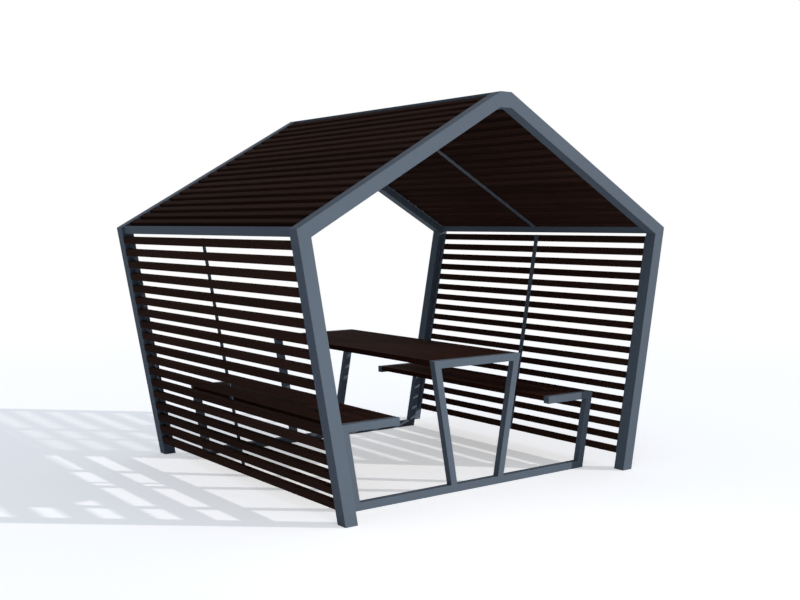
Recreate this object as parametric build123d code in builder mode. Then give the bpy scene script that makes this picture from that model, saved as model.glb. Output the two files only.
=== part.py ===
"""Garden shelter with a picnic set inside, in millimetres.

X runs across the gable, Y along the depth with the entrance at the low end, and Z up.
The origin is on the ground, at the middle of the plan.
"""
from build123d import *
from math import atan2, cos, degrees, radians, sin, tan
import os

# Shelter: overall sizes, over the outer faces of the tubes
depth = 2184.0
foot_width = 2110.0
eave_width = 2650.0
eave_height = 1478.0
ridge_height = 2213.0

# Shelter: tubes
frame_tube = 74.0
ridge_tube_width = 80.0
eave_tube = 48.5
eave_tube_inset = 19.0

# Slats and the flat straps that hold them
slat_width = 41.0
slat_thickness = 34.0
wall_slat_count = 18
roof_slat_count = 18
wall_slat_gap_at_eave = 23.0
wall_slat_gap_at_ground = 78.5
roof_slat_gap_at_ridge = 43.0
strap_width = 36.0
strap_thickness = 4.0

# Picnic set
set_tube = 43.0
set_end_gap = 217.0
set_lean_degrees = 10.1
table_width = 644.0
table_height = 750.0
knee_gap = 235.0
bench_height = 467.0
bench_gap_at_posts = 129.0
board_thickness = 30.0

# Places that follow from the sizes
foot_half = foot_width / 2
eave_half = eave_width / 2
ridge_half = ridge_tube_width / 2
front_face = -depth / 2
rear_face = depth / 2
bay = depth - 2 * frame_tube
bay_rear = bay / 2

wall_lean = atan2(eave_half - foot_half, eave_height)
roof_slope = atan2(ridge_height - eave_height, eave_half - ridge_half)
wall_down = Vector(-sin(wall_lean), -cos(wall_lean))
wall_inward = Vector(-cos(wall_lean), sin(wall_lean))
roof_up = Vector(-cos(roof_slope), sin(roof_slope))
roof_inward = Vector(-sin(roof_slope), -cos(roof_slope))

ends = {"front": front_face + frame_tube, "rear": rear_face}
sides = {"left": -1, "right": 1}
strap_backs = [-bay_rear + strap_width, 0, bay_rear]

os.makedirs("parts", exist_ok=True)


def mitre(corner, one_way, other_way, tube):
    """Inner corner of two tubes of equal depth that leave the outer corner in these directions."""
    reach = tube / one_way.cross(other_way).length
    return corner + (one_way + other_way) * reach


def mirrored(corners, side):
    """Corners of the right side's outline, turned over for the left side."""
    return [(sides[side] * corner.X, corner.Y) for corner in corners]


def save(piece, name):
    piece.label = name
    export_step(piece, f"parts/{name}.step")


# End frames: posts that lean outward, and rafters that rise to the ridge
eave_corner = Vector(eave_half, eave_height)
eave_inside = mitre(eave_corner, wall_down, roof_up, frame_tube)
post_foot_inside = foot_half - frame_tube / cos(wall_lean)
rafter_cut = frame_tube / cos(roof_slope)

post_corners = [Vector(foot_half, 0), eave_corner, eave_inside, Vector(post_foot_inside, 0)]
rafter_corners = [
    eave_corner,
    Vector(ridge_half, ridge_height),
    Vector(ridge_half, ridge_height - rafter_cut),
    eave_inside,
]

for end, back in ends.items():
    for side in sides:
        with BuildPart() as post:
            with BuildSketch(Plane.XZ.offset(-back)):
                with BuildLine():
                    Polyline(*mirrored(post_corners, side), close=True)
                make_face()
            extrude(amount=frame_tube)
        save(post.part, f"{end}_{side}_post")

        with BuildPart() as rafter:
            with BuildSketch(Plane.XZ.offset(-back)):
                with BuildLine():
                    Polyline(*mirrored(rafter_corners, side), close=True)
                make_face()
            extrude(amount=frame_tube)
        save(rafter.part, f"{end}_{side}_rafter")

# Ridge beam, flush with the end frames and as tall as the rafters' cut ends
with BuildPart() as ridge_beam:
    with BuildSketch(Plane.XZ.offset(-rear_face)):
        with Locations((0, ridge_height)):
            Rectangle(ridge_tube_width, rafter_cut, align=(Align.CENTER, Align.MAX))
    extrude(amount=depth)
save(ridge_beam.part, "ridge_beam")

# Eave beams between the end frames, with the outer top edge in the roof's face
eave_tube_out = eave_half - eave_tube_inset
eave_tube_in = eave_tube_out - eave_tube
eave_tube_top = eave_height + eave_tube_inset * tan(roof_slope)
eave_tube_bottom = eave_tube_top - eave_tube
eave_tube_middle = Vector(eave_tube_out - eave_tube / 2, eave_tube_top - eave_tube / 2)

for side in sides:
    with BuildPart() as eave_beam:
        with BuildSketch(Plane.XZ.offset(-bay_rear)):
            with Locations(*mirrored([eave_tube_middle], side)):
                Rectangle(eave_tube, eave_tube)
        extrude(amount=bay)
    save(eave_beam.part, f"{side}_eave_beam")

# Slats, flush with the outer faces of the posts and the rafters. The lowest roof slat meets the eave beam.
wall_length = eave_height / cos(wall_lean)
wall_first = (eave_height - eave_tube_bottom + wall_slat_gap_at_eave) / cos(wall_lean)
wall_run = wall_length - wall_first - wall_slat_gap_at_ground / cos(wall_lean)
wall_pitch = (wall_run - slat_width) / (wall_slat_count - 1)

roof_length = (eave_half - ridge_half) / cos(roof_slope)
roof_first = (Vector(eave_tube_in, eave_tube_top) - eave_corner).dot(roof_up)
roof_run = roof_length - roof_first - roof_slat_gap_at_ridge
roof_pitch = (roof_run - slat_width) / (roof_slat_count - 1)

panels = {
    "wall": (wall_down, wall_inward, wall_first, wall_pitch, wall_slat_count, 90 - degrees(wall_lean)),
    "roof": (roof_up, roof_inward, roof_first, roof_pitch, roof_slat_count, -degrees(roof_slope)),
}

for panel, (along, inward, first, pitch, count, turn) in panels.items():
    middles = []
    for number in range(count):
        middle_along = first + slat_width / 2 + number * pitch
        middles.append(eave_corner + along * middle_along + inward * (slat_thickness / 2))
    for side in sides:
        with BuildPart() as slats:
            with BuildSketch(Plane.XZ.offset(-bay_rear)):
                with Locations(*mirrored(middles, side)):
                    Rectangle(slat_width, slat_thickness, rotation=sides[side] * turn)
            extrude(amount=bay)
        save(slats.part, f"{side}_{panel}_slats")

# Straps behind the slats, at both end frames and in front of the middle of the depth
strap_top = eave_corner + wall_down * wall_first + wall_inward * slat_thickness
strap_through = wall_inward * strap_thickness
strap_drop = wall_down * wall_run
roof_strap_top_cut = slat_thickness / cos(roof_slope)
roof_strap_low_cut = (slat_thickness + strap_thickness) / cos(roof_slope)
eave_tube_under_roof = eave_height + (eave_half - eave_tube_in) * tan(roof_slope)

straps = {
    "wall": [
        strap_top,
        strap_top + strap_drop,
        strap_top + strap_drop + strap_through,
        strap_top + strap_through,
    ],
    "roof": [
        Vector(ridge_half, ridge_height - roof_strap_top_cut),
        Vector(ridge_half, ridge_height - roof_strap_low_cut),
        Vector(eave_tube_in, eave_tube_under_roof - roof_strap_low_cut),
        Vector(eave_tube_in, eave_tube_under_roof - roof_strap_top_cut),
    ],
}

for panel, strap_corners in straps.items():
    for side in sides:
        with BuildPart() as panel_straps:
            for back in strap_backs:
                with BuildSketch(Plane.XZ.offset(-back)):
                    with BuildLine():
                        Polyline(*mirrored(strap_corners, side), close=True)
                    make_face()
                extrude(amount=strap_width)
        save(panel_straps.part, f"{side}_{panel}_straps")

# Picnic set: places of its tubes, seen from the front
set_lean = radians(set_lean_degrees)
set_leg_down = Vector(-sin(set_lean), -cos(set_lean))
set_leg_up = Vector(sin(set_lean), cos(set_lean))
inward_level = Vector(-1, 0)
set_leg_cut = set_tube / cos(set_lean)

table_half = table_width / 2
seat_front = table_half + knee_gap
posts_at_seat = post_foot_inside + bench_height * tan(wall_lean)
seat_back = posts_at_seat - bench_gap_at_posts
rail_half = seat_back - bench_height * tan(set_lean)
table_foot_half = table_half - (table_height - set_tube) * tan(set_lean)

table_corner = Vector(table_half, table_height)
table_inside = mitre(table_corner, inward_level, set_leg_down, set_tube)
bench_corner = Vector(seat_back, bench_height)
bench_inside = mitre(bench_corner, inward_level, set_leg_down, set_tube)
rail_corner = Vector(rail_half, 0)
rail_inside = mitre(rail_corner, inward_level, set_leg_up, set_tube)

floor_rail_corners = [(rail_half, 0), (rail_inside.X, set_tube), (-rail_inside.X, set_tube), (-rail_half, 0)]
table_rail_corners = [
    (table_half, table_height),
    (table_inside.X, table_inside.Y),
    (-table_inside.X, table_inside.Y),
    (-table_half, table_height),
]
side_tubes = {
    "table_leg": [
        table_corner,
        table_inside,
        Vector(table_foot_half - set_leg_cut, set_tube),
        Vector(table_foot_half, set_tube),
    ],
    "bench_leg": [bench_corner, bench_inside, rail_inside, rail_corner],
    "bench_arm": [
        bench_corner,
        bench_inside,
        Vector(seat_front, bench_height - set_tube),
        Vector(seat_front, bench_height),
    ],
}

set_rear = rear_face - set_end_gap
set_front = -set_rear
set_ends = {"front": set_front + set_tube, "rear": set_rear}

for end, back in set_ends.items():
    with BuildPart() as floor_rail:
        with BuildSketch(Plane.XZ.offset(-back)):
            with BuildLine():
                Polyline(*floor_rail_corners, close=True)
            make_face()
        extrude(amount=set_tube)
    save(floor_rail.part, f"{end}_floor_rail")

    with BuildPart() as table_rail:
        with BuildSketch(Plane.XZ.offset(-back)):
            with BuildLine():
                Polyline(*table_rail_corners, close=True)
            make_face()
        extrude(amount=set_tube)
    save(table_rail.part, f"{end}_table_rail")

    for side in sides:
        for tube_name, tube_corners in side_tubes.items():
            with BuildPart() as set_tube_piece:
                with BuildSketch(Plane.XZ.offset(-back)):
                    with BuildLine():
                        Polyline(*mirrored(tube_corners, side), close=True)
                    make_face()
                extrude(amount=set_tube)
            save(set_tube_piece.part, f"{end}_{side}_{tube_name}")

# Table top and bench seats, between the end frames and flush with their top faces
board_rear = set_rear - set_tube
board_length = 2 * board_rear

with BuildPart() as table_top:
    with BuildSketch(Plane.XZ.offset(-board_rear)):
        with Locations((0, table_height)):
            Rectangle(table_width, board_thickness, align=(Align.CENTER, Align.MAX))
    extrude(amount=board_length)
save(table_top.part, "table_top")

seat_middle = Vector((seat_front + seat_back) / 2, bench_height)
for side in sides:
    with BuildPart() as bench_seat:
        with BuildSketch(Plane.XZ.offset(-board_rear)):
            with Locations(*mirrored([seat_middle], side)):
                Rectangle(seat_back - seat_front, board_thickness, align=(Align.CENTER, Align.MAX))
        extrude(amount=board_length)
    save(bench_seat.part, f"{side}_bench_seat")
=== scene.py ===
"""Garden shelter: coated steel tubes and stained timber, dressed over the packed solids.

Lengths are in metres.
"""
import math

import bmesh
import bpy
from bpy.props import FloatProperty, FloatVectorProperty, IntProperty, PointerProperty
from mathutils import Euler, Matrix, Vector


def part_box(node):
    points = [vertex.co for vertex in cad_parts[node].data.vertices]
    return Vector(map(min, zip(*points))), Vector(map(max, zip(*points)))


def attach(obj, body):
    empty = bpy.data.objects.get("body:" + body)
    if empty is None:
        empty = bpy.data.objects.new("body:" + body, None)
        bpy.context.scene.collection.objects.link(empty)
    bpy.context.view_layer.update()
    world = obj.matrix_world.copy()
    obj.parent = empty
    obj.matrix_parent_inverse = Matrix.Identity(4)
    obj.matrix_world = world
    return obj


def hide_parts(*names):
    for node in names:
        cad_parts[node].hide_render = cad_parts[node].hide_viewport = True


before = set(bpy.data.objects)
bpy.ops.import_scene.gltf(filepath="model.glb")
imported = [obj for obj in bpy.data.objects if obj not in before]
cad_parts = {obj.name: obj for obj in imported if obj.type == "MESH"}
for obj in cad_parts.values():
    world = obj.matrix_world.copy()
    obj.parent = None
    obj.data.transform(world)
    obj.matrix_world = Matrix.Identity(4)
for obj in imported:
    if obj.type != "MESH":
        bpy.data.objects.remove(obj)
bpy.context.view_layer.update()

bl_info = {
    "name": "Garden Shelter",
    "version": (1, 0, 0),
    "blender": (4, 5, 0),
    "location": "3D View > Sidebar > Shelter",
    "description": "Dresses a garden shelter and its picnic set in coated steel and stained timber",
    "category": "Object",
}

BODY = "root"
STEEL_SLOT, SLAT_SLOT, TOP_SLOT = "coated_steel", "slat_timber", "top_timber"
DEPTH_AXIS = Vector((0, 1, 0))

# CAD nodes, by kind
ENDS = ("front", "rear")
SIDES = ("left", "right")
POSTS = [f"{end}_{side}_post" for end in ENDS for side in SIDES]
RAFTERS = [f"{end}_{side}_rafter" for end in ENDS for side in SIDES]
EAVE_BEAMS = [f"{side}_eave_beam" for side in SIDES]
PANELS = [f"{side}_{face}" for side in SIDES for face in ("wall", "roof")]
TABLE_LEGS = [f"{end}_{side}_table_leg" for end in ENDS for side in SIDES]
BENCH_LEGS = [f"{end}_{side}_bench_leg" for end in ENDS for side in SIDES]
BENCH_ARMS = [f"{end}_{side}_bench_arm" for end in ENDS for side in SIDES]
SET_RAILS = [f"{end}_{rail}" for end in ENDS for rail in ("floor_rail", "table_rail")]
TOPS = ("table_top", "left_bench_seat", "right_bench_seat")

# Meshes: how copies of the solids are cleaned, and how many steps their round edges take
MERGE_DISTANCE = 1e-5
FLAT_ANGLE = math.radians(0.5)
SHARP_ANGLE = math.radians(40)
TUBE_SIDES = 4
TUBE_CORNER_STEPS = 4
STRAP_CORNER_STEPS = 2
BOARD_CORNER_STEPS = 3
ROUND_PROFILE = 0.5

# Screw heads: sides of the round, then each step's rise as a share of the height and its taper
HEAD_SIDES = 12
HEAD_STEP_SHARES = ((0.55, 0.94), (0.30, 0.80), (0.15, 0.60), (0.0, 0.70), (-0.5, 0.92))

# Weld seams: sides of the round, steps at a corner and along a ripple, and how far a ripple swells
SEAM_SIDES = 6
SEAM_CORNER_STEPS = 4
SEAM_STEP_SHARE = 0.34
RIPPLE_SHARE = 0.08

# Names of the mesh attributes that the finishes read
ARRIS = "arris"
TONE = "tone"

# Powder coat and zinc: noises as detail and roughness, then the clouds, the bump and the shine
CLOUD_NOISE = (4.0, 0.6)
PEEL_NOISE = (2.0, 0.55)
CLOUD_MIDDLE = 0.5
CLOUD_LIMITS = (0.3, 0.7)
COAT_GRAIN = {"Cloud Scale": 3.5, "Peel Scale": 900.0, "Gloss": 0.52, "Gloss Spread": 0.16}
COAT_BUMP = {"Strength": 0.12, "Distance": 0.0004}
COAT_DULL_SHARE = 0.93
COAT_SHINE = 0.04
ZINC_GRAIN = {"Cloud Scale": 160.0, "Peel Scale": 1500.0, "Gloss": 0.42, "Gloss Spread": 0.2}
ZINC_DULL_SHARE = 0.6
ZINC_METAL = 0.8

# Timber: noises, the stretch of each along the depth, and how a board's tone moves it through the log
RING_NOISE = {"Detail": 2.0, "Detail Scale": 0.6, "Detail Roughness": 0.55}
FIBRE_NOISE = (5.0, 0.65)
PORE_NOISE = (2.0, 0.5)
RING_STRETCH = (1.0, 0.03, 1.0)
FIBRE_STRETCH = (1.0, 0.02, 1.0)
PORE_STRETCH = (4.0, 0.10, 4.0)
TONE_SHIFT = (1.7, 41.0, 2.9)

# Timber: parts of the fibre in the figure and of the pores in the height, then shade, gloss and bump
FIBRE_SHARE = 0.6
PORE_SHARE = 0.4
FIGURE_LIMITS = (0.28, 0.72)
DARKEST_SHADE = 0.82
SHADE_SPREAD = 0.36
FIBRE_GLOSS = 0.16
TIMBER_BUMP = {"Strength": 0.35, "Distance": 0.0006}
SLAT_GRAIN = {"Ring Scale": 70.0, "Ring Wander": 5.0, "Fibre Scale": 150.0, "Gloss": 0.70}
SLAT_SHINE = 0.01
TOP_GRAIN = {"Ring Scale": 40.0, "Ring Wander": 5.0, "Fibre Scale": 90.0, "Gloss": 0.66}
TOP_SHINE = 0.007

# The floor, the background's white, and how far apart nodes are drawn
FLOOR_ROUGHNESS = 0.9
WHITE = (1, 1, 1, 1)
NODE_SPACING = 220


class ShelterSteel(bpy.types.PropertyGroup):
    """Sizes and colours of the coated steel."""

    coat_colour: FloatVectorProperty(
        name="Coat", description="Colour of the powder coat",
        subtype="COLOR", size=3, min=0, max=1, default=(0.098, 0.125, 0.158))
    arris_colour: FloatVectorProperty(
        name="Arris", description="Colour of the coat where it thins over the corners",
        subtype="COLOR", size=3, min=0, max=1, default=(0.125, 0.155, 0.190))
    screw_colour: FloatVectorProperty(
        name="Screw", description="Colour of the screw heads",
        subtype="COLOR", size=3, min=0, max=1, default=(0.16, 0.17, 0.18))
    frame_corner: FloatProperty(
        name="Frame corner", description="Outer corner radius of the frame tube",
        unit="LENGTH", default=0.002)
    beam_corner: FloatProperty(
        name="Beam corner", description="Outer corner radius of the eave beams and the set's tube",
        unit="LENGTH", default=0.002)
    strap_corner: FloatProperty(
        name="Strap corner", description="Edge radius of the flat straps",
        unit="LENGTH", default=0.001)
    cap_margin: FloatProperty(
        name="Cap margin", description="Tube wall that shows round a pressed-in end cap",
        unit="LENGTH", default=0.0016)
    cap_depth: FloatProperty(
        name="Cap depth", description="How far an end cap sits in its tube",
        unit="LENGTH", default=0.0012)
    seam_radius: FloatProperty(
        name="Seam radius", description="Radius of the dressed weld round each joint",
        unit="LENGTH", default=0.0022)
    seam_sink: FloatProperty(
        name="Seam sink", description="How far the weld's centre lies below the tube's faces",
        unit="LENGTH", default=0.00195)
    ripple_length: FloatProperty(
        name="Ripple length", description="Distance from one weld ripple to the next",
        unit="LENGTH", default=0.0035)
    head_diameter: FloatProperty(
        name="Head diameter", description="Diameter of a screw head",
        unit="LENGTH", default=0.011)
    head_height: FloatProperty(
        name="Head height", description="Height of a screw head",
        unit="LENGTH", default=0.0035)


class ShelterTimber(bpy.types.PropertyGroup):
    """Sizes and colours of the stained timber."""

    slat_early_colour: FloatVectorProperty(
        name="Slat early wood", description="Stain on the soft part of the slats' grain",
        subtype="COLOR", size=3, min=0, max=1, default=(0.0445, 0.0211, 0.0151))
    slat_late_colour: FloatVectorProperty(
        name="Slat late wood", description="Stain on the hard part of the slats' grain",
        subtype="COLOR", size=3, min=0, max=1, default=(0.0223, 0.0103, 0.0074))
    top_early_colour: FloatVectorProperty(
        name="Top early wood", description="Stain on the soft part of the tops' grain",
        subtype="COLOR", size=3, min=0, max=1, default=(0.0370, 0.0142, 0.0097))
    top_late_colour: FloatVectorProperty(
        name="Top late wood", description="Stain on the hard part of the tops' grain",
        subtype="COLOR", size=3, min=0, max=1, default=(0.0150, 0.0055, 0.0038))
    slat_edge: FloatProperty(
        name="Slat edge", description="Edge radius of a slat",
        unit="LENGTH", default=0.0012)
    stave_edge: FloatProperty(
        name="Stave edge", description="Edge radius of a stave in the tops",
        unit="LENGTH", default=0.0012)
    stave_width: FloatProperty(
        name="Stave width", description="Width that the tops' staves come nearest to",
        unit="LENGTH", default=0.072)
    seed: IntProperty(
        name="Seed", description="Seed of the boards' tones", default=7)


class ShelterStage(bpy.types.PropertyGroup):
    """The camera, the light and the floor."""

    eye: FloatVectorProperty(
        name="Eye", description="Where the camera stands",
        subtype="TRANSLATION", size=3, default=(-3.9403, -5.3932, 1.5077))
    heading: FloatProperty(
        name="Heading", description="Camera's turn from the depth axis",
        subtype="ANGLE", default=math.radians(36.837))
    dip: FloatProperty(
        name="Dip", description="How far the camera looks down",
        subtype="ANGLE", default=math.radians(4.151))
    roll: FloatProperty(
        name="Roll", description="Camera's turn about its line of sight",
        subtype="ANGLE", default=math.radians(-0.049))
    lens: FloatProperty(
        name="Lens", description="Focal length of the camera, in millimetres",
        unit="CAMERA", default=47.889)
    sun_bearing: FloatProperty(
        name="Sun bearing", description="Sun's turn from the width axis towards the entrance",
        subtype="ANGLE", default=math.radians(41.8))
    sun_height: FloatProperty(
        name="Sun height", description="Sun's height over the floor",
        subtype="ANGLE", default=math.radians(15))
    sun_width: FloatProperty(
        name="Sun width", description="Angle that softens the shadows",
        subtype="ANGLE", default=math.radians(0.7))
    sun_power: FloatProperty(
        name="Sun power", description="Strength of the sun lamp", default=3.0)
    sun_colour: FloatVectorProperty(
        name="Sun", description="Colour of the sun lamp and the soft box",
        subtype="COLOR", size=3, min=0, max=1, default=(1.0, 0.955, 0.925))
    horizon_power: FloatProperty(
        name="Horizon power", description="Strength of the sky's light at the horizon", default=0.08)
    zenith_power: FloatProperty(
        name="Zenith power", description="Strength of the sky's light straight above", default=0.60)
    sky_colour: FloatVectorProperty(
        name="Sky", description="Colour of the sky's light",
        subtype="COLOR", size=3, min=0, max=1, default=(0.72, 0.83, 1.0))
    fill_power: FloatProperty(
        name="Fill power", description="Power of the soft box that lights the inside",
        unit="POWER", default=14.0)
    fill_size: FloatProperty(
        name="Fill size", description="Width of the soft box",
        unit="LENGTH", default=1.2)
    fill_place: FloatVectorProperty(
        name="Fill place", description="Where the soft box stands",
        subtype="TRANSLATION", size=3, default=(-1.0, -3.0, 0.7))
    fill_aim: FloatVectorProperty(
        name="Fill aim", description="Where the soft box points",
        subtype="TRANSLATION", size=3, default=(0.8, 0.0, 1.2))
    floor_colour: FloatVectorProperty(
        name="Floor", description="Colour of the floor",
        subtype="COLOR", size=3, min=0, max=1, default=(0.92, 0.92, 0.92))
    floor_glow: FloatProperty(
        name="Floor glow", description="Brightness that lifts the lit floor to the background's white",
        default=0.45)
    floor_half: FloatProperty(
        name="Floor half", description="Half the floor's width",
        unit="LENGTH", default=60.0)
    fade_start: FloatProperty(
        name="Fade start", description="Distance at which the floor starts to fade out",
        unit="LENGTH", default=4.0)
    fade_end: FloatProperty(
        name="Fade end", description="Distance at which the floor is as white as the background",
        unit="LENGTH", default=9.0)


def add_node(tree, kind, inputs=None, **settings):
    """A node with these settings, and inputs that are plain values or the sockets to link."""
    node = tree.nodes.new(kind)
    node.location.x = NODE_SPACING * len(tree.nodes)
    for name, value in settings.items():
        setattr(node, name, value)
    for key, value in (inputs or {}).items():
        if isinstance(value, bpy.types.NodeSocket):
            tree.links.new(value, node.inputs[key])
        else:
            node.inputs[key].default_value = value
    return node


def link_inputs(tree, node, sockets):
    """Links sockets to a node's named inputs."""
    for label, socket in sockets.items():
        tree.links.new(socket, node.inputs[label])


def new_tree(name, kind, inputs, outputs):
    """A node group with named inputs and outputs, and its two end nodes."""
    tree = bpy.data.node_groups.new(name, kind)
    for label, socket in inputs.items():
        tree.interface.new_socket(label, in_out="INPUT", socket_type=f"NodeSocket{socket}")
    for label, socket in outputs.items():
        tree.interface.new_socket(label, in_out="OUTPUT", socket_type=f"NodeSocket{socket}")
    return tree, tree.nodes.new("NodeGroupInput"), tree.nodes.new("NodeGroupOutput")


def math_node(tree, operation, *values):
    """The result of a sum on plain values or sockets."""
    return add_node(tree, "ShaderNodeMath", dict(enumerate(values)), operation=operation).outputs[0]


def vector_node(tree, operation, first, second):
    """The result of a sum on two vectors."""
    return add_node(tree, "ShaderNodeVectorMath", {
        0: first, 1: second}, operation=operation).outputs[0]


def scaled(tree, vector, factor):
    """A vector or a colour multiplied by one factor."""
    return add_node(tree, "ShaderNodeVectorMath", {
        0: vector, "Scale": factor}, operation="SCALE").outputs[0]


def on_axis(tree, axis, value):
    """A vector with a value on one axis."""
    return add_node(tree, "ShaderNodeCombineXYZ", {axis: value}).outputs[0]


def mixed(tree, kind, factor, first, second):
    """Two values or two colours, mixed by a factor."""
    return add_node(tree, "ShaderNodeMix", {
        "Factor": factor, "A": first, "B": second}, data_type=kind).outputs["Result"]


def spread(tree, value, limits, curve="LINEAR"):
    """A value between two limits, spread over 0 to 1."""
    low, high = limits
    return add_node(tree, "ShaderNodeMapRange", {
        "Value": value, "From Min": low, "From Max": high}, interpolation_type=curve).outputs[0]


def noise(tree, vector, scale, detail, roughness):
    """Noise from 0 to 1 over a vector."""
    return add_node(tree, "ShaderNodeTexNoise", {
        "Vector": vector, "Scale": scale, "Detail": detail, "Roughness": roughness}).outputs[0]


def bump(tree, height, values):
    """A normal that follows a height."""
    return add_node(tree, "ShaderNodeBump", {"Height": height, **values}).outputs[0]


def opaque(colour, share=1.0):
    """A colour, or a share of its brightness, as a shader takes it."""
    return (*(share * part for part in colour), 1)


def coat_grain_group(name):
    """Powder coat: cloudy tone, orange-peel height, uneven gloss and a mask of thin coat on corners."""
    tree, start, end = new_tree(
        name, "ShaderNodeTree",
        {"Cloud Scale": "Float", "Peel Scale": "Float", "Gloss": "Float", "Gloss Spread": "Float"},
        {"Cloud": "Float", "Thin Coat": "Float", "Roughness": "Float", "Height": "Float"})
    given = start.outputs
    place = add_node(tree, "ShaderNodeTexCoord").outputs["Object"]
    cloud = noise(tree, place, given["Cloud Scale"], *CLOUD_NOISE)
    peel = noise(tree, place, given["Peel Scale"], *PEEL_NOISE)
    corner = add_node(tree, "ShaderNodeAttribute", attribute_name=ARRIS).outputs["Fac"]
    thin = math_node(tree, "MULTIPLY", corner, cloud)
    swing = math_node(tree, "SUBTRACT", cloud, CLOUD_MIDDLE)
    gloss = math_node(tree, "MULTIPLY_ADD", swing, given["Gloss Spread"], given["Gloss"])
    link_inputs(tree, end, {"Cloud": cloud, "Thin Coat": thin, "Roughness": gloss, "Height": peel})
    return tree


def timber_grain_group(name):
    """Timber sawn along the depth axis: rings, fibres, pores, gloss and a shade for each board."""
    tree, start, end = new_tree(
        name, "ShaderNodeTree",
        {"Ring Scale": "Float", "Ring Wander": "Float", "Fibre Scale": "Float", "Gloss": "Float"},
        {"Figure": "Float", "Shade": "Float", "Roughness": "Float", "Height": "Float"})
    given = start.outputs
    place = add_node(tree, "ShaderNodeTexCoord").outputs["Object"]
    tone = add_node(tree, "ShaderNodeAttribute", attribute_name=TONE).outputs["Fac"]
    log = vector_node(tree, "ADD", place, scaled(tree, TONE_SHIFT, tone))
    rings = add_node(tree, "ShaderNodeTexWave", {
        "Vector": vector_node(tree, "MULTIPLY", log, RING_STRETCH), "Scale": given["Ring Scale"],
        "Distortion": given["Ring Wander"], **RING_NOISE},
        wave_type="RINGS", rings_direction="Y", wave_profile="SAW").outputs["Fac"]
    fibre_place = vector_node(tree, "MULTIPLY", log, FIBRE_STRETCH)
    fibre = noise(tree, fibre_place, given["Fibre Scale"], *FIBRE_NOISE)
    pore_place = vector_node(tree, "MULTIPLY", log, PORE_STRETCH)
    pores = noise(tree, pore_place, given["Fibre Scale"], *PORE_NOISE)
    figure = mixed(tree, "FLOAT", FIBRE_SHARE, rings, fibre)
    shade = math_node(tree, "MULTIPLY_ADD", tone, SHADE_SPREAD, DARKEST_SHADE)
    gloss = math_node(tree, "MULTIPLY_ADD", fibre, FIBRE_GLOSS, given["Gloss"])
    height = mixed(tree, "FLOAT", PORE_SHARE, figure, pores)
    link_inputs(tree, end, {"Figure": figure, "Shade": shade, "Roughness": gloss, "Height": height})
    return tree


def place_group(tree, name, make, values):
    """The outputs of a shared node group, made once, placed in a material with its own values."""
    group = bpy.data.node_groups.get(name) or make(name)
    return add_node(tree, "ShaderNodeGroup", values, node_tree=group).outputs


def new_material(name):
    """An empty material with a shader that reaches its output."""
    material = bpy.data.materials.new(name)
    material.use_nodes = True
    tree = material.node_tree
    tree.nodes.clear()
    shader = add_node(tree, "ShaderNodeBsdfPrincipled")
    add_node(tree, "ShaderNodeOutputMaterial", {"Surface": shader.outputs[0]})
    return material, tree, shader


def coated_steel():
    """Matt slate powder coat on the tubes and the straps."""
    found = bpy.data.materials.get("slate_coat")
    if found:
        return found
    steel = bpy.context.scene.shelter_steel
    material, tree, shader = new_material("slate_coat")
    grain = place_group(tree, "Coat Grain", coat_grain_group, COAT_GRAIN)
    cloud = spread(tree, grain["Cloud"], CLOUD_LIMITS)
    dull = opaque(steel.coat_colour, COAT_DULL_SHARE)
    coat = mixed(tree, "RGBA", cloud, dull, opaque(steel.coat_colour))
    link_inputs(tree, shader, {
        "Base Color": mixed(tree, "RGBA", grain["Thin Coat"], coat, opaque(steel.arris_colour)),
        "Roughness": grain["Roughness"],
        "Normal": bump(tree, grain["Height"], COAT_BUMP)})
    shader.inputs["Specular IOR Level"].default_value = COAT_SHINE
    return material


def screw_zinc():
    """Dulled zinc on the screw heads."""
    found = bpy.data.materials.get("screw_zinc")
    if found:
        return found
    colour = bpy.context.scene.shelter_steel.screw_colour
    material, tree, shader = new_material("screw_zinc")
    grain = place_group(tree, "Coat Grain", coat_grain_group, ZINC_GRAIN)
    dull = opaque(colour, ZINC_DULL_SHARE)
    link_inputs(tree, shader, {
        "Base Color": mixed(tree, "RGBA", grain["Cloud"], dull, opaque(colour)),
        "Roughness": grain["Roughness"]})
    shader.inputs["Metallic"].default_value = ZINC_METAL
    return material


def stained_timber(name, early_colour, late_colour, grain_values, shine):
    """Dark brown stain over the grain of the boards."""
    found = bpy.data.materials.get(name)
    if found:
        return found
    material, tree, shader = new_material(name)
    grain = place_group(tree, "Timber Grain", timber_grain_group, grain_values)
    figure = spread(tree, grain["Figure"], FIGURE_LIMITS)
    stain = mixed(tree, "RGBA", figure, opaque(late_colour), opaque(early_colour))
    link_inputs(tree, shader, {
        "Base Color": scaled(tree, stain, grain["Shade"]),
        "Roughness": grain["Roughness"],
        "Normal": bump(tree, grain["Height"], TIMBER_BUMP)})
    shader.inputs["Specular IOR Level"].default_value = shine
    return material


def solid_copy(node):
    """A CAD node's solids as a clean mesh to edit: points merged, flat faces whole."""
    solid = bmesh.new()
    solid.from_mesh(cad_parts[node].data)
    solid.faces.layers.float.new(ARRIS)
    bmesh.ops.remove_doubles(solid, verts=solid.verts, dist=MERGE_DISTANCE)
    bmesh.ops.dissolve_limit(solid, angle_limit=FLAT_ANGLE, verts=solid.verts, edges=solid.edges)
    solid.normal_update()
    return solid


def separate_bars(node):
    """The separate bars of a CAD node, each as the list of its points."""
    solid = solid_copy(node)
    seen = set()
    bars = []
    for first in solid.verts:
        if first in seen:
            continue
        seen.add(first)
        bar, to_walk = [], [first]
        while to_walk:
            vert = to_walk.pop()
            bar.append(vert.co.copy())
            for edge in vert.link_edges:
                other = edge.other_vert(vert)
                if other not in seen:
                    seen.add(other)
                    to_walk.append(other)
        bars.append(bar)
    solid.free()
    return bars


def centre(points):
    """The middle of a set of points."""
    return sum(points, Vector()) / len(points)


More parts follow.
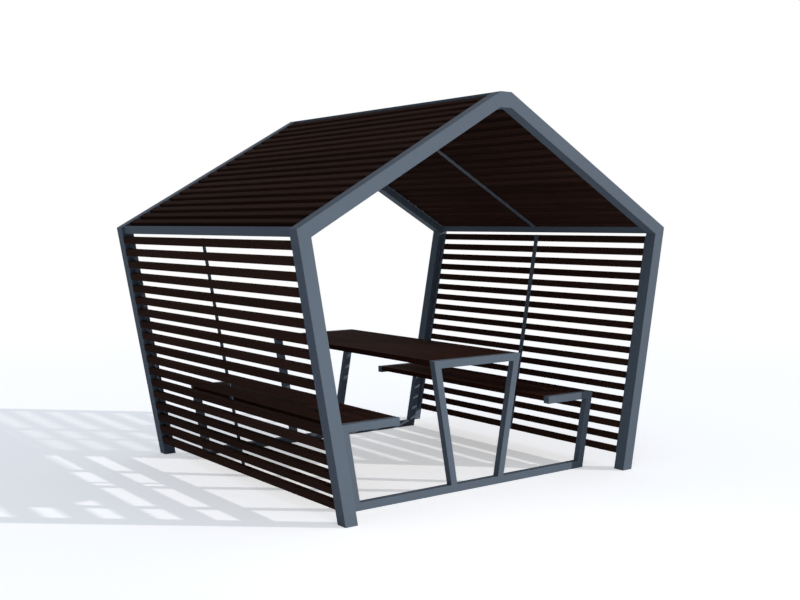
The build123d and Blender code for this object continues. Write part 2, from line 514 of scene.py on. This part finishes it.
def span(points, way):
    """How far a set of points reaches along a direction."""
    along = [point.dot(way) for point in points]
    return max(along) - min(along)


def long_edges(solid):
    """The edges that run along a tube."""
    return sorted(solid.edges, key=lambda edge: edge.calc_length())[-TUBE_SIDES:]


def tube_ends(solid):
    """The two faces that close a tube."""
    runs = set(long_edges(solid))
    return [face for face in solid.faces if not runs & set(face.edges)]


def sunk_corner(loop, depth):
    """A corner of a tube's end, moved in the end until it lies this deep below both faces beside it."""
    corner, ahead, behind = loop.vert, loop.edge, loop.link_loop_prev.edge
    point = corner.co.copy()
    for edge, across in ((ahead, behind), (behind, ahead)):
        way = (edge.other_vert(corner).co - corner.co).normalized()
        wall = next(face for face in across.link_faces if face is not loop.face)
        point -= way * (depth / way.dot(wall.normal))
    return point


def new_piece(name, mesh):
    """An object at the origin for a finished mesh."""
    piece = bpy.data.objects.new(name, mesh)
    bpy.context.scene.collection.objects.link(piece)
    return piece


def evaluated_mesh(piece):
    """The mesh that a piece's modifiers give."""
    graph = bpy.context.evaluated_depsgraph_get()
    return bpy.data.meshes.new_from_object(
        piece.evaluated_get(graph), preserve_all_data_layers=True, depsgraph=graph)


def settle(piece, material, slot, *nodes):
    """Smooths a piece's round edges, gives it its finish and sets it on the frame in place of its nodes."""
    piece.data.shade_smooth()
    piece.data.set_sharp_from_angle(angle=SHARP_ANGLE)
    even = piece.modifiers.new("Even Normals", "WEIGHTED_NORMAL")
    even.keep_sharp = True
    mesh = evaluated_mesh(piece)
    piece.modifiers.remove(even)
    mesh.name = piece.name
    mesh.materials.clear()
    mesh.materials.append(material)
    piece.data = mesh
    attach(piece, BODY)
    if nodes:
        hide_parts(*nodes)


def settle_steel(solid, node, form):
    """Sets an edited copy of a CAD node, in coated steel, in that node's place."""
    mesh = bpy.data.meshes.new(node)
    solid.to_mesh(mesh)
    solid.free()
    settle(new_piece(f"{node}_{form}", mesh), coated_steel(), STEEL_SLOT, node)


def round_edges(solid, edges, radius, steps):
    """Rounds edges, and notes their new faces for the thin coat there."""
    made = bmesh.ops.bevel(
        solid, geom=edges, offset=radius, segments=steps, profile=ROUND_PROFILE,
        affect="EDGES", clamp_overlap=True)
    layer = solid.faces.layers.float[ARRIS]
    for face in made["faces"]:
        face[layer] = 1.0


def rounded_tube(node, radius, cap_end=None):
    """A tube with rolled corners in place of a CAD bar, capped at the end that is nearest a point."""
    steel = bpy.context.scene.shelter_steel
    solid = solid_copy(node)
    round_edges(solid, long_edges(solid), radius, TUBE_CORNER_STEPS)
    if cap_end is not None:
        cap = min(solid.faces, key=lambda face: (face.calc_center_median() - cap_end).length)
        bmesh.ops.inset_individual(solid, faces=[cap], thickness=steel.cap_margin, use_even_offset=True)
        pressed = bmesh.ops.extrude_discrete_faces(solid, faces=[cap])["faces"][0]
        bmesh.ops.translate(solid, verts=pressed.verts, vec=-steel.cap_depth * pressed.normal)
    settle_steel(solid, node, "tube")


def rounded_flats(node, radius):
    """Flat straps with broken edges in place of a CAD node's bars."""
    solid = solid_copy(node)
    round_edges(solid, solid.edges[:], radius, STRAP_CORNER_STEPS)
    settle_steel(solid, node, "flats")


def finish_tree(tree, end, shape, material):
    """Ends a geometry node tree: instances made real, and the material set."""
    real = add_node(tree, "GeometryNodeRealizeInstances", {"Geometry": shape})
    dressed = add_node(tree, "GeometryNodeSetMaterial", {"Geometry": real.outputs[0], "Material": material})
    link_inputs(tree, end, {"Geometry": dressed.outputs[0]})


def board_tree(name):
    """Geometry nodes that lay a round-edged board on each point, with a tone of its own."""
    tree, start, end = new_tree(
        name, "GeometryNodeTree",
        {"Geometry": "Geometry", "Width": "Float", "Thickness": "Float", "Length": "Float",
         "Edge Radius": "Float", "Tilt": "Float", "Seed": "Int", "Material": "Material"},
        {"Geometry": "Geometry"})
    given = start.outputs
    outline = add_node(tree, "GeometryNodeCurvePrimitiveQuadrilateral", {
        "Width": given["Width"], "Height": given["Thickness"]}, mode="RECTANGLE")
    rounded = add_node(tree, "GeometryNodeFilletCurve", {
        "Curve": outline.outputs[0], "Radius": given["Edge Radius"], "Count": BOARD_CORNER_STEPS,
        "Limit Radius": True}, mode="POLY")
    far = on_axis(tree, "Y", math_node(tree, "DIVIDE", given["Length"], 2))
    near = scaled(tree, far, -1)
    run = add_node(tree, "GeometryNodeCurvePrimitiveLine", {"Start": near, "End": far}, mode="POINTS")
    board = add_node(tree, "GeometryNodeCurveToMesh", {
        "Curve": run.outputs[0], "Profile Curve": rounded.outputs[0], "Fill Caps": True})
    laid = add_node(tree, "GeometryNodeInstanceOnPoints", {
        "Points": given["Geometry"], "Instance": board.outputs[0],
        "Rotation": on_axis(tree, "Y", given["Tilt"])})
    tone = add_node(tree, "FunctionNodeRandomValue", {"Seed": given["Seed"]}, data_type="FLOAT")
    toned = add_node(tree, "GeometryNodeStoreNamedAttribute", {
        "Geometry": laid.outputs[0], "Name": TONE, "Value": tone.outputs["Value"]},
        data_type="FLOAT", domain="INSTANCE")
    finish_tree(tree, end, toned.outputs[0], given["Material"])
    return tree


def screw_tree(name):
    """Geometry nodes that set a domed head with a drive socket on each point."""
    tree, start, end = new_tree(
        name, "GeometryNodeTree",
        {"Geometry": "Geometry", "Diameter": "Float", "Height": "Float", "Tilt": "Float", "Seed": "Int",
         "Material": "Material"},
        {"Geometry": "Geometry"})
    given = start.outputs
    radius = math_node(tree, "DIVIDE", given["Diameter"], 2)
    disc = add_node(tree, "GeometryNodeMeshCircle", {
        "Vertices": HEAD_SIDES, "Radius": radius}, fill_type="NGON")
    shape, top = disc.outputs[0], None
    for rise, taper in HEAD_STEP_SHARES:
        lift = math_node(tree, "MULTIPLY", given["Height"], rise)
        grown = add_node(tree, "GeometryNodeExtrudeMesh", {
            "Mesh": shape, "Offset Scale": lift, "Individual": False}, mode="FACES")
        if top is not None:
            link_inputs(tree, grown, {"Selection": top})
        top = grown.outputs["Top"]
        shape = add_node(tree, "GeometryNodeScaleElements", {
            "Geometry": grown.outputs["Mesh"], "Selection": top, "Scale": taper}, domain="FACE").outputs[0]
    base = add_node(tree, "GeometryNodeFlipFaces", {"Mesh": disc.outputs[0]})
    closed = add_node(tree, "GeometryNodeJoinGeometry", {"Geometry": shape})
    link_inputs(tree, closed, {"Geometry": base.outputs[0]})
    head = add_node(tree, "GeometryNodeMergeByDistance", {
        "Geometry": closed.outputs[0], "Distance": MERGE_DISTANCE})
    set_in = add_node(tree, "GeometryNodeInstanceOnPoints", {
        "Points": given["Geometry"], "Instance": head.outputs[0],
        "Rotation": on_axis(tree, "Y", given["Tilt"])})
    spin = add_node(tree, "FunctionNodeRandomValue", {
        "Max": math.tau, "Seed": given["Seed"]}, data_type="FLOAT")
    turned = add_node(tree, "GeometryNodeRotateInstances", {
        "Instances": set_in.outputs[0], "Rotation": on_axis(tree, "Z", spin.outputs["Value"]),
        "Local Space": True})
    finish_tree(tree, end, turned.outputs[0], given["Material"])
    return tree


def seam_tree(name):
    """Geometry nodes that run a rippled weld along each closed loop of edges."""
    tree, start, end = new_tree(
        name, "GeometryNodeTree",
        {"Geometry": "Geometry", "Radius": "Float", "Corner": "Float", "Ripple": "Float",
         "Material": "Material"},
        {"Geometry": "Geometry"})
    given = start.outputs
    loops = add_node(tree, "GeometryNodeMeshToCurve", {"Mesh": given["Geometry"]})
    soft = add_node(tree, "GeometryNodeFilletCurve", {
        "Curve": loops.outputs[0], "Radius": given["Corner"], "Count": SEAM_CORNER_STEPS,
        "Limit Radius": True}, mode="POLY")
    step = math_node(tree, "MULTIPLY", given["Ripple"], SEAM_STEP_SHARE)
    even = add_node(tree, "GeometryNodeResampleCurve", {
        "Curve": soft.outputs[0], "Length": step}, mode="LENGTH")
    run = add_node(tree, "GeometryNodeSplineParameter").outputs["Length"]
    ripples = math_node(tree, "DIVIDE", run, given["Ripple"])
    wave = math_node(tree, "SINE", math_node(tree, "MULTIPLY", ripples, math.tau))
    swell = math_node(tree, "MULTIPLY_ADD", wave, RIPPLE_SHARE, 1 - RIPPLE_SHARE)
    width = math_node(tree, "MULTIPLY", swell, given["Radius"])
    rippled = add_node(tree, "GeometryNodeSetCurveRadius", {"Curve": even.outputs[0], "Radius": width})
    ring = add_node(tree, "GeometryNodeCurvePrimitiveCircle", {
        "Resolution": SEAM_SIDES, "Radius": 1}, mode="RADIUS")
    bead = add_node(tree, "GeometryNodeCurveToMesh", {
        "Curve": rippled.outputs[0], "Profile Curve": ring.outputs[0], "Scale": width})
    finish_tree(tree, end, bead.outputs[0], given["Material"])
    return tree


def grown_piece(name, make_tree, points, edges, values):
    """A plain mesh that a geometry node tree, made once, grows from points and edges."""
    tree_name = make_tree.__name__
    seed_mesh = bpy.data.meshes.new(name)
    seed_mesh.from_pydata(points, edges, [])
    piece = new_piece(name, seed_mesh)
    grow = piece.modifiers.new("Grow", "NODES")
    grow.node_group = bpy.data.node_groups.get(tree_name) or make_tree(tree_name)
    for item in grow.node_group.interface.items_tree:
        if item.in_out == "INPUT" and item.name in values:
            grow[item.identifier] = values[item.name]
    mesh = evaluated_mesh(piece)
    piece.modifiers.remove(grow)
    piece.data = mesh
    bpy.data.meshes.remove(seed_mesh)
    return piece


def slat_layout(panel):
    """Where one panel's slats and straps lie, read from the frame."""
    slats = sorted(separate_bars(f"{panel}_slats"), key=lambda points: centre(points).z)
    straps = separate_bars(f"{panel}_straps")
    middles = [centre(points) for points in slats]
    along = (middles[-1] - middles[0]).normalized()
    through = along.cross(DEPTH_AXIS)
    return {
        "middles": middles,
        "width": span(slats[0], along),
        "thickness": span(slats[0], through),
        "length": span(slats[0], DEPTH_AXIS),
        "tilt": math.atan2(-along.z, along.x),
        "inward": through if through.x * middles[0].x < 0 else -through,
        "strap_thickness": span(straps[0], through),
        "strap_places": sorted(centre(points).y for points in straps),
    }


class SHELTER_OT_end_frames(bpy.types.Operator):
    """Rounds the tubes of the two end frames"""

    bl_idname = "shelter.end_frames"
    bl_label = "End Frames"

    def execute(self, context):
        for node in POSTS + RAFTERS:
            rounded_tube(node, context.scene.shelter_steel.frame_corner)
        return {"FINISHED"}


class SHELTER_OT_beams(bpy.types.Operator):
    """Rounds the ridge beam and the eave beams"""

    bl_idname = "shelter.beams"
    bl_label = "Ridge and Eave Beams"

    def execute(self, context):
        steel = context.scene.shelter_steel
        rounded_tube("ridge_beam", steel.frame_corner)
        for node in EAVE_BEAMS:
            rounded_tube(node, steel.beam_corner)
        return {"FINISHED"}


class SHELTER_OT_slats(bpy.types.Operator):
    """Lays the timber slats of both walls and both roof slopes"""

    bl_idname = "shelter.slats"
    bl_label = "Wall and Roof Slats"

    def execute(self, context):
        timber = context.scene.shelter_timber
        stain = stained_timber(
            "slat_stain", timber.slat_early_colour, timber.slat_late_colour, SLAT_GRAIN, SLAT_SHINE)
        for number, panel in enumerate(PANELS):
            lay = slat_layout(panel)
            piece = grown_piece(f"{panel}_slat_boards", board_tree, lay["middles"], [], {
                "Width": lay["width"], "Thickness": lay["thickness"], "Length": lay["length"],
                "Edge Radius": timber.slat_edge, "Tilt": lay["tilt"], "Seed": timber.seed + number,
                "Material": stain})
            settle(piece, stain, SLAT_SLOT, f"{panel}_slats")
        return {"FINISHED"}


class SHELTER_OT_straps(bpy.types.Operator):
    """Makes the flat straps behind the slats and the screws that hold each slat"""

    bl_idname = "shelter.straps"
    bl_label = "Straps and Screws"

    def execute(self, context):
        steel = context.scene.shelter_steel
        for number, panel in enumerate(PANELS):
            rounded_flats(f"{panel}_straps", steel.strap_corner)
            lay = slat_layout(panel)
            inward = lay["inward"]
            seat = inward * (lay["thickness"] / 2 + lay["strap_thickness"])
            points = [Vector((middle.x, place, middle.z)) + seat
                      for place in lay["strap_places"] for middle in lay["middles"]]
            piece = grown_piece(f"{panel}_strap_screws", screw_tree, points, [], {
                "Diameter": steel.head_diameter, "Height": steel.head_height,
                "Tilt": math.atan2(inward.x, inward.z), "Seed": number, "Material": screw_zinc()})
            settle(piece, screw_zinc(), STEEL_SLOT)
        return {"FINISHED"}


class SHELTER_OT_set_frames(bpy.types.Operator):
    """Rounds the tubes of the picnic set and caps the bench arms"""

    bl_idname = "shelter.set_frames"
    bl_label = "Table and Bench Frames"

    def execute(self, context):
        radius = context.scene.shelter_steel.beam_corner
        for node in SET_RAILS + TABLE_LEGS + BENCH_LEGS:
            rounded_tube(node, radius)
        for node in BENCH_ARMS:
            low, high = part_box(node)
            free_end = (low + high) / 2
            free_end.x = low.x if low.x > 0 else high.x
            rounded_tube(node, radius, free_end)
        return {"FINISHED"}


class SHELTER_OT_tops(bpy.types.Operator):
    """Lays the staves of the table top and the bench seats"""

    bl_idname = "shelter.tops"
    bl_label = "Table Top and Bench Seats"

    def execute(self, context):
        timber = context.scene.shelter_timber
        first_seed = timber.seed + len(PANELS)
        stain = stained_timber(
            "top_stain", timber.top_early_colour, timber.top_late_colour, TOP_GRAIN, TOP_SHINE)
        for number, node in enumerate(TOPS):
            low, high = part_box(node)
            size = high - low
            middle = (low + high) / 2
            count = round(size.x / timber.stave_width)
            width = size.x / count
            points = [Vector((low.x + (place + 0.5) * width, middle.y, middle.z)) for place in range(count)]
            piece = grown_piece(f"{node}_staves", board_tree, points, [], {
                "Width": width, "Thickness": size.z, "Length": size.y, "Edge Radius": timber.stave_edge,
                "Tilt": 0.0, "Seed": first_seed + number, "Material": stain})
            settle(piece, stain, TOP_SLOT, node)
        return {"FINISHED"}


class SHELTER_OT_welds(bpy.types.Operator):
    """Runs a dressed weld round each joint of the tubes"""

    bl_idname = "shelter.welds"
    bl_label = "Weld Seams"

    def execute(self, context):
        steel = context.scene.shelter_steel
        self.run_seams(steel, "frame_welds", POSTS, steel.frame_corner, top_only=True)
        self.run_seams(steel, "ridge_welds", RAFTERS, steel.frame_corner, top_only=True)
        self.run_seams(steel, "eave_beam_welds", EAVE_BEAMS, steel.beam_corner)
        self.run_seams(steel, "table_leg_welds", TABLE_LEGS, steel.beam_corner)
        self.run_seams(steel, "bench_leg_welds", BENCH_LEGS, steel.beam_corner)
        return {"FINISHED"}

    def run_seams(self, steel, name, nodes, corner, top_only=False):
        """Welds at both ends of each tube, or at its top end only."""
        points, edges = [], []
        for node in nodes:
            solid = solid_copy(node)
            faces = tube_ends(solid)
            if top_only:
                faces = [max(faces, key=lambda face: face.calc_center_median().z)]
            for face in faces:
                first, count = len(points), len(face.loops)
                points += [sunk_corner(loop, steel.seam_sink) for loop in face.loops]
                edges += [(first + n, first + (n + 1) % count) for n in range(count)]
            solid.free()
        piece = grown_piece(name, seam_tree, points, edges, {
            "Radius": steel.seam_radius, "Corner": corner, "Ripple": steel.ripple_length,
            "Material": coated_steel()})
        settle(piece, coated_steel(), STEEL_SLOT)


def seen_rays(tree):
    """One for the rays that show the background: straight, mirrored or through glass."""
    path = add_node(tree, "ShaderNodeLightPath").outputs
    mirrored = math_node(tree, "MAXIMUM", path["Is Glossy Ray"], path["Is Transmission Ray"])
    return math_node(tree, "MAXIMUM", path["Is Camera Ray"], mirrored)


class SHELTER_OT_stage(bpy.types.Operator):
    """Sets the camera, the lamps, the sky and the pale floor"""

    bl_idname = "shelter.stage"
    bl_label = "Stage"

    def execute(self, context):
        stage = context.scene.shelter_stage
        context.scene.view_settings.view_transform = "Standard"
        self.set_camera(context.scene, stage)
        self.set_sun(context.scene, stage)
        self.set_fill(context.scene, stage)
        self.set_sky(context.scene, stage)
        self.lay_floor(stage)
        return {"FINISHED"}

    def set_camera(self, scene, stage):
        """A camera that looks in at the front gable."""
        camera = bpy.data.objects.new("camera", bpy.data.cameras.new("camera"))
        camera.data.lens = stage.lens
        camera.location = stage.eye
        turn = Euler((math.pi / 2 - stage.dip, 0, -stage.heading))
        turn.rotate_axis("Z", stage.roll)
        camera.rotation_euler = turn
        scene.collection.objects.link(camera)
        scene.camera = camera

    def set_sun(self, scene, stage):
        """A low sun from the right of the entrance."""
        lamp = bpy.data.lights.new("sun", "SUN")
        lamp.energy = stage.sun_power
        lamp.color = stage.sun_colour
        lamp.angle = stage.sun_width
        sun = bpy.data.objects.new("sun", lamp)
        level = math.cos(stage.sun_height)
        across = level * math.cos(stage.sun_bearing)
        forward = level * math.sin(stage.sun_bearing)
        towards = Vector((across, -forward, math.sin(stage.sun_height)))
        sun.rotation_euler = towards.to_track_quat("Z", "Y").to_euler()
        scene.collection.objects.link(sun)

    def set_fill(self, scene, stage):
        """A soft box in front of the gable, which the camera doesn't see."""
        lamp = bpy.data.lights.new("fill", "AREA")
        lamp.energy = stage.fill_power
        lamp.color = stage.sun_colour
        lamp.size = stage.fill_size
        fill = bpy.data.objects.new("fill", lamp)
        fill.location = stage.fill_place
        fill.rotation_euler = (fill.location - Vector(stage.fill_aim)).to_track_quat("Z", "Y").to_euler()
        fill.visible_camera = False
        scene.collection.objects.link(fill)

    def set_sky(self, scene, stage):
        """A sky that brightens towards the zenith, seen as plain white."""
        world = scene.world or bpy.data.worlds.new("sky")
        scene.world = world
        world.use_nodes = True
        tree = world.node_tree
        tree.nodes.clear()
        way = add_node(tree, "ShaderNodeTexCoord").outputs["Generated"]
        rise = add_node(tree, "ShaderNodeSeparateXYZ", {0: way}).outputs["Z"]
        power = add_node(tree, "ShaderNodeMapRange", {
            "Value": rise, "To Min": stage.horizon_power, "To Max": stage.zenith_power}).outputs[0]
        light = add_node(tree, "ShaderNodeBackground", {
            "Color": opaque(stage.sky_colour), "Strength": power})
        white = add_node(tree, "ShaderNodeBackground", {"Color": WHITE, "Strength": 1.0})
        sky = add_node(tree, "ShaderNodeMixShader", {
            0: seen_rays(tree), 1: light.outputs[0], 2: white.outputs[0]})
        add_node(tree, "ShaderNodeOutputWorld", {"Surface": sky.outputs[0]})

    def lay_floor(self, stage):
        """A pale floor that keeps the shadow and fades into the white background."""
        half = stage.floor_half
        corners = [(-half, -half, 0), (half, -half, 0), (half, half, 0), (-half, half, 0)]
        mesh = bpy.data.meshes.new("floor")
        mesh.from_pydata(corners, [], [(0, 1, 2, 3)])
        floor = new_piece("floor", mesh)
        material, tree, shader = new_material("pale_floor")
        shader.inputs["Base Color"].default_value = opaque(stage.floor_colour)
        shader.inputs["Roughness"].default_value = FLOOR_ROUGHNESS
        shader.inputs["Specular IOR Level"].default_value = 0.0
        place = add_node(tree, "ShaderNodeTexCoord").outputs["Object"]
        away = add_node(tree, "ShaderNodeVectorMath", {0: place}, operation="LENGTH").outputs["Value"]
        fade = spread(tree, away, (stage.fade_start, stage.fade_end), "SMOOTHSTEP")
        seen = seen_rays(tree)
        glow = add_node(tree, "ShaderNodeEmission", {
            "Color": WHITE, "Strength": math_node(tree, "MULTIPLY", seen, stage.floor_glow)})
        lifted = add_node(tree, "ShaderNodeAddShader", {0: shader.outputs[0], 1: glow.outputs[0]})
        white = add_node(tree, "ShaderNodeEmission", {"Color": WHITE, "Strength": 1.0})
        faded = add_node(tree, "ShaderNodeMixShader", {
            0: math_node(tree, "MULTIPLY", fade, seen), 1: lifted.outputs[0], 2: white.outputs[0]})
        output = next(node for node in tree.nodes if node.type == "OUTPUT_MATERIAL")
        link_inputs(tree, output, {"Surface": faded.outputs[0]})
        mesh.materials.append(material)


class SHELTER_PT_sidebar(bpy.types.Panel):
    """Lists the shelter's pieces and their sizes"""

    bl_label = "Garden Shelter"
    bl_idname = "SHELTER_PT_sidebar"
    bl_space_type = "VIEW_3D"
    bl_region_type = "UI"
    bl_category = "Shelter"

    def draw(self, context):
        for operator in OPERATORS:
            self.layout.operator(operator.bl_idname)
        for name in SETTINGS:
            group = getattr(context.scene, name)
            column = self.layout.column(heading=group.__doc__)
            for key in group.__annotations__:
                column.prop(group, key)


SETTINGS = {"shelter_steel": ShelterSteel, "shelter_timber": ShelterTimber, "shelter_stage": ShelterStage}
OPERATORS = (
    SHELTER_OT_end_frames,
    SHELTER_OT_beams,
    SHELTER_OT_slats,
    SHELTER_OT_straps,
    SHELTER_OT_set_frames,
    SHELTER_OT_tops,
    SHELTER_OT_welds,
    SHELTER_OT_stage,
)
CLASSES = (*SETTINGS.values(), *OPERATORS, SHELTER_PT_sidebar)


def register():
    for cls in CLASSES:
        bpy.utils.register_class(cls)
    for name, group in SETTINGS.items():
        setattr(bpy.types.Scene, name, PointerProperty(type=group))


def unregister():
    for name in SETTINGS:
        delattr(bpy.types.Scene, name)
    for cls in reversed(CLASSES):
        bpy.utils.unregister_class(cls)


def main():
    register()
    bpy.ops.shelter.end_frames()
    bpy.ops.shelter.beams()
    bpy.ops.shelter.slats()
    bpy.ops.shelter.straps()
    bpy.ops.shelter.set_frames()
    bpy.ops.shelter.tops()
    bpy.ops.shelter.welds()
    bpy.ops.shelter.stage()


if __name__ == "__main__":
    main()
